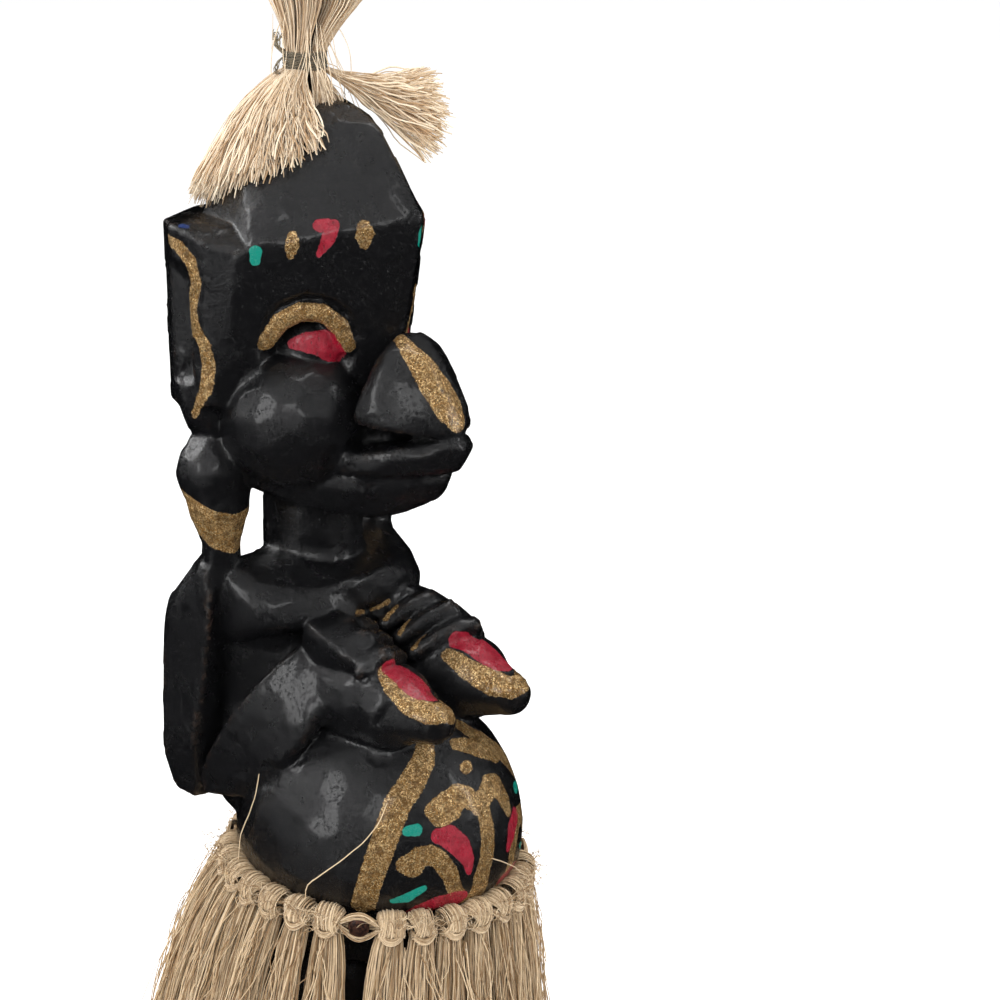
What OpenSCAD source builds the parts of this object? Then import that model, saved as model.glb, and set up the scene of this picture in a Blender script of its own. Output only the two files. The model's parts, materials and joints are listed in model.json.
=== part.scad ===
// Carved fertility doll: one block of black lacquered wood, a raffia skirt knotted on a
// nailed header cord, and two raffia hanks bound to a peg on the crown.
// Millimetres. +Z is up, the doll faces -Y, and its own right hand is on the -X side.
// The origin is the centre of the base's underside, on the axis of the log.

/* [Carved block] */
// Radius of the round base, a slice of the log left under the feet
base_radius = 41; // [38:1:44]
// Thickness of the base
base_height = 14; // [12:1:16]
// Half the width of the head from ear to ear
head_half_width = 36; // [35:0.5:37]
// Top of the crown above the floor
crown_top = 300; // [298:1:301]
// Widest radius of the belly
belly_radius = 35.5; // [34.5:0.5:36]
// Reach of the breast tips in front of the log's axis
breast_reach = 47; // [44:1:48]

/* [Skirt ring] */
// Radius of the ring, to the middle of the header cord
ring_radius = 36; // [35.8:0.1:36.5]
// Height of the ring's centre
ring_height = 112; // [111:0.5:113]
// How far the ring's centre sits in front of the log's axis
ring_forward = 9; // [8.5:0.5:9.5]
// Tilt of the ring, front edge down, in degrees
ring_tilt = 6.7; // [5:0.1:8]
// Radius of the header cord
cord_radius = 1.6; // [1.5:0.1:1.7]

/* [Skirt hanks] */
// Radius of the knot that wraps the header cord
knot_radius = 3.7; // [3.4:0.1:3.8]
// Width of a knot along the cord
knot_width = 6.4; // [5.8:0.1:6.6]
// Length of a hank below the cord
hank_length = 68; // [56:1:74]
// Width of a hank at its cut end
hem_width = 8; // [7:0.2:8.4]
// Thickness of a hank half way down
hank_thickness = 4.4; // [3.6:0.2:5]
// Outward slope of the lower part of a hank
hank_slope = 0.16; // [0.14:0.01:0.2]
// How far the back hanks are pushed out by the hips
back_flare = 9; // [7:0.5:10]

/* [Nails] */
// Radius of a nail's head
nail_head = 2.5; // [2:0.1:3]
// Radius of a nail's shank
nail_shank = 0.8; // [0.6:0.1:0.9]

/* [Hair] */
// Radius of the carved peg that the hanks are tied to
peg_radius = 2.7; // [2.4:0.1:2.7]
// Top of the upright tuft above the floor
tuft_top = 360; // [345:1:365]
// Radius of the tuft at its widest
tuft_radius = 23; // [18:1:25]
// Width of one turn of the binding twine
twine = 1; // [0.9:0.1:1.2]

/* [Hidden] */
PLACES = 30;                 // places round the ring, each for a hank or a nail
PLACE_STEP = 360 / PLACES;
FIRST_PLACE = 6;             // first place, in degrees from the doll's front towards its right
NAIL_PLACES = [4, 12, 17, 25];
HANK_PLACES = [for (i = [0:PLACES - 1]) if (len(search(i, NAIL_PLACES)) == 0) i];
HANKS = len(HANK_PLACES);
function two_digits(n) = n < 10 ? str("0", n) : str(n);
function hank_name(n) = str("skirt_hank_", two_digits(n + 1));

WAIST_RADIUS = ring_radius - knot_radius - 0.8;
CORD_BORE = cord_radius + 0.25;
PEG_AT = [0, 11];
PEG_TOP = 326;
HAIR_BORE = peg_radius + 0.05;
BIND_LOW = 306.8;
BIND_RADIUS = 4.6;
NECK_AT = [0, 11];
FINE = 28;
COARSE = 14;
BLACK = [0.06, 0.06, 0.07];
STRAW = [0.85, 0.76, 0.58];

// ---- helpers ----

module both_sides() {
    children();
    mirror([1, 0, 0]) children();
}

module ball(at, r) translate(at) sphere(r, $fn = COARSE);

module limb(a, ra, b, rb) hull() { ball(a, ra); ball(b, rb); }

// the convex solid round some points
module carved(points) hull() for (p = points) translate(p) cube(1, center = true);

// the same, with the points' mirror twins
module carved_across(points) hull() both_sides() for (p = points) translate(p) cube(1, center = true);

// a box between two corners
module block(low, high) translate(low) cube(high - low);

// the tilted frame of the skirt ring: local Z is the ring's axis
module in_ring() translate([0, -ring_forward, ring_height]) rotate([ring_tilt, 0, 0]) children();

// one place on the ring: local X points outward, Y runs along the cord
function place_turn(place) = 270 - (FIRST_PLACE + PLACE_STEP * place);
module at_place(place) {
    in_ring() rotate([0, 0, place_turn(place)]) translate([ring_radius, 0, 0]) children();
}

// ---- carved figure ----

module base() cylinder(r = base_radius, h = base_height, $fn = 64);

module legs() both_sides() {
    limb([18, 6, 84], 16, [20, -16, 56], 12);
    limb([20, -16, 56], 12, [19, 4, 24], 10);
    hull() {
        ball([19, 6, 18], 10);
        ball([19, -22, 16], 8);
    }
    block([10, -12, 10], [28, 14, 24]);
}

module hips() {
    translate([0, 6, 84]) scale([33, 33, 24]) sphere(1, $fn = FINE);
    in_ring() translate([0, 0, -14]) cylinder(r = WAIST_RADIUS, h = 26, $fn = 44);
}

// the belly's outline: a low round underside and a tall upper part
function belly_r(h) = belly_radius * sqrt(1 - pow(h / (h > 0 ? 36 : 18), 2));
module belly() in_ring() translate([0, 0, 10]) {
    rotate_extrude($fn = 44)
        polygon(concat([[0, -17]], [for (h = [-17:3:34]) [belly_r(h), h]], [[0, 36]]));
}

module torso() {
    carved_across([
        [0, -6, 186], [9, -3.5, 185], [16, 1, 183], [24, 6, 182], [28, 14, 184], [29.5, 28.5, 180],
        [14, 32, 182], [0, 31, 183], [0, 20, 189.5], [14, 18, 189.5], [0, -7, 152], [15, -6, 151],
        [21.5, 4, 154], [24, 14, 150], [24, 27.5, 150], [0, 31.5, 152]]);
    carved_across([
        [0, -7, 162], [15, -6.5, 162], [22, 4, 160], [25, 12, 156], [25, 27.5, 154], [0, 31.5, 156],
        [0, -9.5, 122], [26, -2, 122], [27, 12, 124], [20, 26.5, 125], [0, 27.5, 125]]);
    // the round bar of the shoulders
    both_sides() {
        limb([25, 12.5, 180.5], 10.3, [12, 3.5, 180.5], 10);
        limb([12, 3.5, 180.5], 10, [0, 2, 180.5], 10);
    }
}

// upper arm: a slab cut flat by the side of the log; forearm: a wedge with a sharp upper edge
module arms() both_sides() {
    carved([
        [28, 14, 192.5], [29, 21.4, 191], [32.8, 15.5, 189.5], [34, 13, 179], [34, 27.5, 177],
        [31, 30, 179.5], [34, 18, 163], [34.5, 29.5, 162], [34, 20, 146], [34.5, 30, 141],
        [31, 32, 139], [31, 29.8, 130.5], [31, 22.4, 129.3], [22, 16, 191], [23, 29, 184],
        [24, 17, 165], [24, 30, 140], [24, 22, 129.5]]);
    carved([
        [33.8, 21.5, 139.5], [33.5, 12.5, 152], [31, 5, 162.5], [26, -1, 170.5], [19, -6, 177],
        [14, -8.5, 181], [31, 22, 129.5], [30, 8, 131], [30.5, -3.5, 139], [29, -12, 150],
        [26, -16.5, 158], [20, -17.5, 166], [15, -16.5, 174], [24, 22, 131.5], [24, 6, 132.5],
        [20, -8, 146], [14, -10, 160], [10, -6, 176]]);
}

// the hands lie on the breasts, and their fingers meet in the middle
FINGERTIPS = [[2.6, -6.6, 174.4], [2.6, -10.8, 170.9], [2.6, -15.2, 167.4], [2.6, -19.8, 163.8]];

module hands() both_sides() {
    carved([
        [12, -4, 180.5], [18.5, -9, 179], [19, -17.5, 174], [17, -25.5, 168.5], [8, -5, 175.5],
        [8, -21.5, 166], [17.5, -6, 168], [16, -21.5, 162], [7, -8, 165], [7, -19.5, 160]]);
    for (tip = FINGERTIPS) limb(tip, 2.2, tip + [12.5, -1, 4.4], 2.5);
}

module breasts() both_sides() {
    limb([13, -14, 160], 11.5, [15.5, -28, 159.8], 10.2);
    limb([15.5, -28, 159.8], 10.2, [16, -breast_reach + 5.2, 158.4], 5.2);
}

module neck() translate([NECK_AT[0], NECK_AT[1], 180]) cylinder(r = 12.4, h = 32, $fn = FINE);

// two flat cheeks lean back from a ridge at the front; flat ears stand out beside them
module head_block() difference() {
    carved_across([
        [0, -25, 270.5], [31, 1, 268.5], [head_half_width - 0.5, 10.5, 270],
        [head_half_width - 0.5, 21, 271.3], [31, 28, 271.3], [12, 37.5, 271.3], [0, -14, 226.5],
        [27.5, 10, 228], [head_half_width - 1.2, 10.8, 231], [head_half_width - 1, 20.5, 230],
        [30.5, 28, 230], [11, 35.5, 224.5]]);
    // long hollow in the side of each ear
    both_sides() carved([
        [38, 15.4, 264], [38, 14.6, 234], [38, 25.5, 268], [38, 24.5, 233],
        [33, 17, 260], [33, 16.6, 238], [35.9, 25, 265], [35.3, 24, 237]]);
    // hollow above each cheek, for the eye
    both_sides() translate([22.8, -12.2, 244.1]) sphere(15, $fn = FINE);
}

module eyes() both_sides() ball([10.9, 0.6, 243.2], 8.8);

module jaw() {
    carved_across([
        [0, -26.5, 209], [7, -24, 208.7], [0, -17, 205.3], [6, -15, 205.1], [11.4, -5.5, 204.7],
        [17, -1, 205.8], [25, 5.6, 210], [0, -11, 203.7], [15, 17, 206.5], [0, 20.5, 206.5],
        [27.5, 8, 227], [27.5, 23.5, 227], [0, -19.5, 226], [14, 33.5, 226]]);
    both_sides() translate([14.4, 2.3, 226]) scale([18.6, 17.8, 17.2]) sphere(1, $fn = FINE);
}

// nose, upper lip and lower lip, one above another
module snout() {
    carved_across([
        [0, -18.5, 248.8], [4.5, -17.5, 248.5], [0, -27, 243.4], [6, -25, 243.3], [11, -19.5, 242.5],
        [0, -31.5, 236.5], [7, -28.5, 236.5], [13.3, -20.5, 236], [0, -36, 227.5], [7.5, -33.3, 227.5],
        [14, -25, 227.5], [16.5, -15, 228], [0, -37, 223.5], [7.5, -34.2, 223], [14, -26, 222.5],
        [16.5, -14, 222.5]]);
    carved_across([
        [0, -38, 224], [5, -36, 224], [0, -39, 221], [6, -36.5, 221], [0, -38, 218], [6, -34.5, 217.7],
        [0, -36, 215.5], [6, -33, 215.3], [12.5, -26.5, 223.5], [13.4, -26.5, 218], [12.5, -24, 215],
        [17, -13, 222], [17, -12, 214.5], [0, 0, 218]]);
    carved_across([
        [0, -33, 215], [6, -30.5, 215], [0, -31.7, 210], [6, -29, 210], [0, -29, 208], [6, -26, 207.6],
        [13, -20.5, 215], [13, -18, 209], [16.5, -9, 214.6], [15.5, -8, 208.6], [0, 0, 207.5]]);
}

// struts between the ears and the shoulders
module ear_pendants() both_sides() {
    limb([32, 20, 229], 4, [28, 17, 212], 8);
    limb([28, 17, 212], 8, [27, 13, 193], 5.5);
}

// the pointed crown rises from the head's ridge, and the peg stands on it
module crown() {
    carved_across([
        [0, -25.4, 275], [0, -24.5, 270.5], [30.5, 0.5, 268.8], [25, 14.5, 271], [20, 26.5, 271],
        [8, 32.5, 271], [20.5, 11, 285.5], [0, -12.3, 294.8], [10, 1, 296],
        [0, -3, crown_top - 0.5], [6.5, 5, crown_top - 0.5], [7.5, 18, crown_top - 1],
        [0, 22.5, crown_top - 1.5], [12.5, 26.5, 287.5], [0, 31.5, 287.5]]);
    translate([PEG_AT[0], PEG_AT[1], crown_top - 5])
        cylinder(r = peg_radius, h = PEG_TOP - crown_top + 5, $fn = FINE);
}

module carved_figure() color(BLACK) union() {
    base();
    legs();
    hips();
    belly();
    torso();
    arms();
    hands();
    breasts();
    neck();
    ear_pendants();
    jaw();
    snout();
    eyes();
    head_block();
    crown();
}

// ---- skirt ----

module skirt_cord() color(STRAW) difference() {
    in_ring() rotate_extrude($fn = 96) translate([ring_radius, 0]) circle(r = cord_radius, $fn = 24);
    for (place = NAIL_PLACES) at_place(place) rotate([0, 90, 0])
        cylinder(r = nail_shank, h = 12, center = true, $fn = 24);
}

module skirt_nails() color([0.12, 0.08, 0.07]) for (place = NAIL_PLACES) at_place(place) {
    rotate([0, 90, 0]) {
        translate([0, 0, -12]) cylinder(r = nail_shank, h = 12 + cord_radius + 0.4, $fn = 24);
        translate([0, 0, cord_radius + 0.1]) cylinder(r = nail_head, h = 1, $fn = 32);
    }
}

// how far a hank stands out from the cord at a depth below it
function stand_out(depth, flare) = flare * (1 - exp(-depth / 14)) + hank_slope * depth;
function half_thick(depth) = (depth < 10 ? 1.9 : hank_thickness / 2) * (depth > 55 ? 0.85 : 1);
DEPTHS = [0, 8, 16, 26, 40, 56, hank_length];

// a hank: a knot with the cord's bore, and a bundle that follows the hips and then hangs
module hank(place) {
    flare = back_flare * (1 - cos(FIRST_PLACE + PLACE_STEP * place)) / 2;
    outer = [for (d = DEPTHS) [stand_out(d, flare) + half_thick(d), -d]];
    inner = [for (i = [len(DEPTHS) - 1:-1:0])
        [stand_out(DEPTHS[i], flare) - half_thick(DEPTHS[i]), -DEPTHS[i]]];
    neck_half = knot_width / 2 - 0.2;
    at_place(place) difference() {
        union() {
            rotate([90, 0, 0]) cylinder(r = knot_radius, h = knot_width, center = true, $fn = 32);
            intersection() {
                rotate([90, 0, 0]) linear_extrude(2 * hem_width, center = true)
                    polygon(concat(outer, inner));
                rotate([90, 0, 90]) linear_extrude(120, center = true) polygon([
                    [-neck_half, 1], [neck_half, 1], [neck_half, -8],
                    [hem_width / 2, -hank_length - 1], [-hem_width / 2, -hank_length - 1],
                    [-neck_half, -8]]);
            }
        }
        rotate([90, 0, 0]) cylinder(r = CORD_BORE, h = knot_width + 2, center = true, $fn = 32);
    }
}

// ---- hair ----

// a solid swept round the peg from one compass angle to another
module round_peg(from, to, outline) {
    translate([PEG_AT[0], PEG_AT[1], 0]) rotate([0, 0, from])
        rotate_extrude(angle = to - from, $fn = 48) polygon(outline);
}

// the upright half of a hank, bound at its waist and spreading above
TUFT = [
    [HAIR_BORE, crown_top + 0.8], [BIND_RADIUS, crown_top + 0.8], [BIND_RADIUS, 314.4],
    [tuft_radius * 0.45, 323], [tuft_radius * 0.74, 337], [tuft_radius, tuft_top - 5],
    [tuft_radius * 0.8, tuft_top - 1], [HAIR_BORE, tuft_top]];

module hair_hank_side() color(STRAW) union() {
    round_peg(43, 217, TUFT);
    round_peg(132, 216, [
        [4, 302], [9, 301.4], [17, 296.5], [22, 288.5], [25, 279.5],
        [28.5, 281], [27, 289], [21, 298.5], [13, 304.3], [4, 306.6]]);
}

module hair_hank_front() color(STRAW) union() {
    round_peg(223, 397, TUFT);
    round_peg(287, 333, [
        [4, 302], [9, 301.4], [18.5, 296.6], [26, 288.5], [32, 285],
        [34, 294], [33, 304.5], [20, 305.2], [4, 306.6]]);
}

module hair_binding() color([0.42, 0.36, 0.25]) translate([PEG_AT[0], PEG_AT[1], BIND_LOW])
    rotate_extrude($fn = 48) union() {
        translate([BIND_RADIUS + 0.05, 0]) square([0.7, 4.6 * twine]);
        for (turn = [0:4]) translate([BIND_RADIUS + 0.05 + twine / 2, (turn * 0.9 + 0.5) * twine])
            circle(r = twine / 2, $fn = 24);
    }

carved_figure();
skirt_cord();
skirt_nails();
hair_hank_side();
hair_hank_front();
hair_binding();
for (n = [0:HANKS - 1])
    color(STRAW) hank(HANK_PLACES[n]);
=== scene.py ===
"""A carved fertility doll in black lacquer, with a knotted raffia skirt and a bound raffia topknot.

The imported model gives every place. The doll stands on the origin, faces -Y, and its own right side is
-X. The carving is built in millimetres as a field of distances over its right half, is mirrored and
meshed once, and its paint is held as distances to brush strokes on the mesh's points.
"""
import json
import math

import bmesh
import bpy
import numpy as np
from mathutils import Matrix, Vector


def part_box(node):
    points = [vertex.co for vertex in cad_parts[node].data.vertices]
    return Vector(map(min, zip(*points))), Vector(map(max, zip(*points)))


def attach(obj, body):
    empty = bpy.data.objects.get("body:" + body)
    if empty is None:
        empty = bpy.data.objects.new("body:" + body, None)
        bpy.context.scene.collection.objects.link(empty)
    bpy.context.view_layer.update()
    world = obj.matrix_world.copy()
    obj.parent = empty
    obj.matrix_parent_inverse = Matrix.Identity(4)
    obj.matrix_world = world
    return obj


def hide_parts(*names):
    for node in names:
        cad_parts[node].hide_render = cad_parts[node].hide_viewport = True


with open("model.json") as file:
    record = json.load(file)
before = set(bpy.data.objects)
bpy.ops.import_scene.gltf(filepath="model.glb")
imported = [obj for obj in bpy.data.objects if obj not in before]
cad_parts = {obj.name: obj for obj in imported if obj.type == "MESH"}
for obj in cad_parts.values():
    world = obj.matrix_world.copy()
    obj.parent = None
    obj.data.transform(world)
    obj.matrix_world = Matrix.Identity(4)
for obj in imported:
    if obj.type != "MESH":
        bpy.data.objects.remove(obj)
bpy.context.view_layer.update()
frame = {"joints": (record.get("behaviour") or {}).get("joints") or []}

import openvdb
from mathutils import Matrix, Vector, kdtree
from mathutils.bvhtree import BVHTree

MM = 0.001
SCENE = bpy.context.scene

# ---- places read from the frame

figure_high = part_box("carved_figure")[1]
cord_low, cord_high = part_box("skirt_cord")
bind_low, bind_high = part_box("hair_binding")
tuft_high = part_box("hair_hank_side")[1]

HINGES = {j["child"]: j for j in frame["joints"]}
HANKS = sorted(HINGES)

PEG = (bind_low + bind_high) / 2
PEG_X, PEG_Y, PEG_TOP = PEG.x / MM, PEG.y / MM, figure_high.z / MM
BIND_LOW, BIND_HIGH = bind_low.z / MM, bind_high.z / MM
TUFT_TOP = tuft_high.z / MM
BASE_RADIUS, BASE_HEIGHT = figure_high.x / MM, 14.0

# the header cord's ring: its middle, and its axes across, back and up as rows
CORD_THICK = 3.2 * MM
RING_CENTRE = (cord_low + cord_high) / 2
RING_RADIUS = (Vector(HINGES[HANKS[0]]["pos_m"]) - RING_CENTRE).length / MM
RING_TILT = math.atan2(cord_high.z - cord_low.z - CORD_THICK, cord_high.y - cord_low.y - CORD_THICK)
RING_AT = [v / MM for v in RING_CENTRE]
RING_AXES = np.array([[1, 0, 0], [0, math.cos(RING_TILT), math.sin(RING_TILT)],
                      [0, -math.sin(RING_TILT), math.cos(RING_TILT)]])


# ---- camera, light and floor

VIEW_AZIMUTH = math.radians(-50)
VIEW_DOWN = math.radians(15)
VIEW_DISTANCE = 0.724
AIM_RIGHT, AIM_UP = 0.0308, 0.0893
LENS, SENSOR = 104.2, 36.0


def make_camera():
    """A long lens a little above the doll, over its right side, with the doll left of the middle."""
    back = Vector((math.sin(VIEW_AZIMUTH) * math.cos(VIEW_DOWN),
                   -math.cos(VIEW_AZIMUTH) * math.cos(VIEW_DOWN), math.sin(VIEW_DOWN)))
    right = Vector((math.cos(VIEW_AZIMUTH), math.sin(VIEW_AZIMUTH), 0))
    up = back.cross(right)
    data = bpy.data.cameras.new("camera")
    data.lens, data.sensor_width = LENS, SENSOR
    data.clip_start, data.clip_end = 0.01, 50
    camera = bpy.data.objects.new("camera", data)
    aim = RING_CENTRE + right * AIM_RIGHT + up * AIM_UP
    axes = Matrix((right, up, back)).transposed().to_4x4()
    camera.matrix_world = Matrix.Translation(aim + back * VIEW_DISTANCE) @ axes
    SCENE.collection.objects.link(camera)
    SCENE.camera = camera


# name, place, size, and power in watts
SOFT_BOXES = (("box_back", (-0.35, 0.95, 0.90), (0.75, 0.5), 9),
              ("box_top", (0.20, -0.10, 1.25), (0.5, 0.5), 5),
              ("box_left", (-1.00, 0.05, 0.60), (0.3, 0.7), 5),
              ("box_front", (-0.75, -0.75, 0.80), (0.45, 0.35), 2.6),
              ("box_right", (0.62, -0.90, 0.55), (0.2, 0.8), 4))
LIT_MIDDLE = Vector((0, 0, 0.18))
ROOM_STRENGTH = 1.1


def make_studio():
    """Soft boxes behind, above, left, over the camera and at the right, in a white room."""
    for name, at, size, power in SOFT_BOXES:
        data = bpy.data.lights.new(name, "AREA")
        data.shape, data.size, data.size_y, data.energy = "RECTANGLE", size[0], size[1], power
        light = bpy.data.objects.new(name, data)
        light.location = at
        light.rotation_euler = (LIT_MIDDLE - Vector(at)).to_track_quat("-Z", "Y").to_euler()
        SCENE.collection.objects.link(light)
    world = bpy.data.worlds.new("studio")
    SCENE.world = world
    world.use_nodes = True
    room = world.node_tree.nodes["Background"].inputs
    room["Color"].default_value = (1, 1, 1, 1)
    room["Strength"].default_value = ROOM_STRENGTH
    world.cycles_visibility.glossy = False
    SCENE.view_settings.view_transform = "Standard"


def make_floor():
    """A white sheet just under the base."""
    half, seat = 7.0, -0.0002
    mesh = bpy.data.meshes.new("floor")
    corners = [(-half, -half, seat), (half, -half, seat), (half, half, seat), (-half, half, seat)]
    mesh.from_pydata(corners, [], [(0, 1, 2, 3)])
    floor = bpy.data.objects.new("floor", mesh)
    SCENE.collection.objects.link(floor)
    look = Look("floor_paper")
    look.set("Base Color", (0.98, 0.98, 0.98, 1))
    look.set("Roughness", 0.9)
    mesh.materials.append(look.material)
    floor.visible_glossy = False


# ---- materials


class Look:
    """A node material with short calls for adding nodes."""

    def __init__(self, name):
        self.material = bpy.data.materials.new(name)
        self.material.use_nodes = True
        self.tree = self.material.node_tree
        self.shader = self.tree.nodes["Principled BSDF"]

    def set(self, socket, value):
        self.shader.inputs[socket].default_value = value

    def wire(self, output, socket):
        self.tree.links.new(output, self.shader.inputs[socket])

    def node(self, kind, output, inputs, **settings):
        """One output of a new node. Its inputs are numbers, colours or other nodes' outputs."""
        node = self.tree.nodes.new("ShaderNode" + kind)
        for name, value in settings.items():
            setattr(node, name, value)
        for socket, value in inputs.items():
            if isinstance(value, bpy.types.NodeSocket):
                self.tree.links.new(value, node.inputs[socket])
            else:
                node.inputs[socket].default_value = value
        return node.outputs[output]

    def place(self, stretch=(1, 1, 1)):
        """The point on the object in millimetres, stretched along each axis."""
        where = self.node("TexCoord", "Object", {})
        return self.node("Mapping", "Vector", {"Vector": where, "Scale": [s / MM for s in stretch]})

    def noise(self, at, scale, detail=3.0, rough=0.55):
        return self.node("TexNoise", "Fac", {"Vector": at, "Scale": scale, "Detail": detail,
                                             "Roughness": rough})

    def cells(self, at, scale, output="Distance"):
        return self.node("TexVoronoi", output, {"Vector": at, "Scale": scale})

    def flakes(self, at, scale):
        """A different random level in every small cell."""
        return self.node("SeparateColor", 0, {"Color": self.cells(at, scale, "Color")})

    def maths(self, kind, a, b, c=0.0):
        return self.node("Math", 0, {0: a, 1: b, 2: c}, operation=kind)

    def times(self, a, b):
        return self.maths("MULTIPLY", a, b)

    def times_plus(self, a, b, c):
        return self.maths("MULTIPLY_ADD", a, b, c)

    def either(self, a, b):
        return self.maths("MAXIMUM", a, b)

    def span(self, value, low, high, to_low=0.0, to_high=1.0):
        """value moved from one range to another and held there."""
        return self.node("MapRange", "Result", {"Value": value, "From Min": low, "From Max": high,
                                                "To Min": to_low, "To Max": to_high})

    def mix(self, share, a, b):
        """The colour a, turning into b as share goes from 0 to 1."""
        return self.node("Mix", 2, {"Factor": share, 6: a, 7: b}, data_type="RGBA")

    def attribute(self, name):
        return self.node("Attribute", "Fac", {}, attribute_name=name)

    def bump(self, height, distance, strength=1.0, socket="Normal"):
        self.wire(self.node("Bump", "Normal", {"Height": height, "Distance": distance,
                                               "Strength": strength}), socket)


LACQUER = (0.0035, 0.0035, 0.004, 1)
WORN_WOOD = (0.035, 0.02, 0.012, 1)
GOLD_DARK = (0.06, 0.026, 0.006, 1)
GOLD_MID = (0.27, 0.14, 0.038, 1)
GOLD_BRIGHT = (1.0, 0.72, 0.36, 1)
RED = (0.18, 0.003, 0.012, 1)
RED_LIGHT = (0.26, 0.008, 0.022, 1)
RED_DARK = (0.05, 0.002, 0.006, 1)
TEAL = (0.0, 0.17, 0.125, 1)
BLUE = (0.004, 0.02, 0.10, 1)
PAINT_EDGE = 0.06       # half the width over which a stroke's edge fades, in millimetres


def painted_wood():
    """Black lacquer over open-pored wood, worn at its edges, with brushed gold, red, teal and blue."""
    look = Look("painted_wood")
    at = look.place()
    wobble = look.maths("SUBTRACT", look.noise(at, 0.9, 2), 0.5)
    ragged = look.maths("SUBTRACT", look.noise(at, 4.0, 2), 0.5)

    def brushed(name, edge, fray):
        """Where a colour is. The stroke's edge wanders slowly by edge and frays finely by fray."""
        moved = look.times_plus(wobble, edge, look.attribute(name))
        return look.span(look.times_plus(ragged, fray, moved), PAINT_EDGE, -PAINT_EDGE)

    gold, red = brushed("gold", 0.9, 0.7), brushed("red", 0.7, 0.3)
    teal, blue = brushed("teal", 0.5, 0.2), brushed("blue", 0.5, 0.2)
    pores = look.span(look.cells(look.place((1, 1, 0.35)), 1.05), 0.10, 0.22)
    speck = look.span(look.noise(at, 2.4, 3, 0.7), 0.36, 0.44)
    wear = look.times(look.span(look.attribute("wear"), 0.45, 1.1),
                      look.span(look.noise(at, 0.45, 4, 0.6), 0.44, 0.70))
    flake = look.flakes(at, 3.4)
    grit = look.noise(at, 2.2, 4, 0.75)
    cloud = look.noise(at, 0.55, 3)
    gold_colour = look.mix(look.span(flake, 0.4, 0.95), GOLD_MID, GOLD_BRIGHT)
    gold_colour = look.mix(look.span(grit, 0.52, 0.40, 0, 0.85), gold_colour, GOLD_DARK)
    gold_colour = look.mix(look.span(cloud, 0.48, 0.66, 0, 0.6), gold_colour, GOLD_DARK)
    red_colour = look.mix(look.span(cloud, 0.35, 0.7), RED, RED_LIGHT)
    red_colour = look.mix(look.span(grit, 0.45, 0.34, 0, 0.55), red_colour, RED_DARK)
    colour = look.mix(wear, LACQUER, WORN_WOOD)
    for share, paint in ((look.times(gold, look.span(speck, 0, 1, 0.5, 1.0)), gold_colour),
                         (look.times(red, look.span(pores, 0, 1, 0.45, 1.0)), red_colour),
                         (teal, TEAL), (blue, BLUE)):
        colour = look.mix(share, colour, paint)
    look.wire(colour, "Base Color")
    flat = look.either(look.either(red, teal), blue)
    only_gold = look.times(gold, look.maths("SUBTRACT", 1.0, flat))
    look.wire(look.times(only_gold, look.span(flake, 0.0, 1.0, 0.35, 0.85)), "Metallic")
    gloss = look.span(look.noise(at, 0.22, 5, 0.7), 0.35, 0.66, 0.12, 0.31)
    gloss = look.times_plus(wear, 0.2, gloss)
    look.wire(look.times_plus(look.either(only_gold, flat), 0.08, gloss), "Roughness")
    look.set("Specular IOR Level", 0.42)
    look.set("Coat Weight", 0.3)
    look.set("Coat Roughness", 0.14)
    pips = look.span(look.noise(at, 1.1, 3, 0.75), 0.56, 0.70)
    look.bump(pips, 0.00025, 1.0, "Coat Normal")
    height = look.times(look.noise(look.place((1, 1, 0.10)), 1.5, 4, 0.65), 0.9)
    for relief, share in ((pores, 0.9), (look.noise(at, 1.5, 5, 0.75), 1.3),
                          (look.either(gold, flat), 0.4), (look.times(flake, only_gold), 0.55),
                          (look.noise(at, 0.075, 2), 5.0),
                          (look.noise(look.place((1, 1, 0.4)), 0.32, 2), 1.3)):
        height = look.times_plus(relief, share, height)
    look.bump(height, 0.00018, 0.8)
    return look.material


def fibre(name, pale, deep, rough=0.55):
    """Dry plant fibre: each strand has its own tone, streaked along its length."""
    look = Look(name)
    streak = look.noise(look.place((1, 1, 0.25)), 2.2, 3)
    share = look.times_plus(streak, 0.5, look.times(look.attribute("tone"), 0.75))
    look.wire(look.mix(look.span(share, 0.15, 0.95), pale, deep), "Base Color")
    look.set("Roughness", rough)
    look.set("Specular IOR Level", 0.35)
    look.set("Sheen Weight", 0.15)
    look.set("Subsurface Weight", 0.12)
    look.set("Subsurface Radius", (0.0012, 0.0008, 0.0005))
    look.set("Subsurface Scale", 1.0)
    look.bump(look.noise(look.place((1, 1, 0.15)), 6.0, 2), 0.00005, 0.6)
    return look.material


def rusty_nail():
    """Dark iron with spots of rust."""
    look = Look("nail_iron")
    at = look.place()
    spots = look.span(look.noise(at, 1.3, 4, 0.65), 0.42, 0.62)
    look.wire(look.mix(spots, (0.018, 0.009, 0.008, 1), (0.09, 0.035, 0.02, 1)), "Base Color")
    look.wire(look.span(spots, 0, 1, 0.30, 0.65), "Roughness")
    look.set("Metallic", 0.6)
    look.bump(look.noise(at, 3.0, 3), 0.0001, 0.6)
    return look.material


# ---- the carving's field

FAR = 6.0               # how far from the surface distances are kept, in millimetres
TINY = 1e-6


class Shape:
    """A distance function and the box that its surface lies in."""

    def __init__(self, low, high, distance):
        self.low, self.high, self.distance = np.array(low, float), np.array(high, float), distance


def join(a, b, soft):
    """The nearer of two distances, rounded where they meet."""
    near = np.maximum(soft - np.abs(a - b), 0) / soft
    return np.minimum(a, b) - near * near * soft / 4


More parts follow.
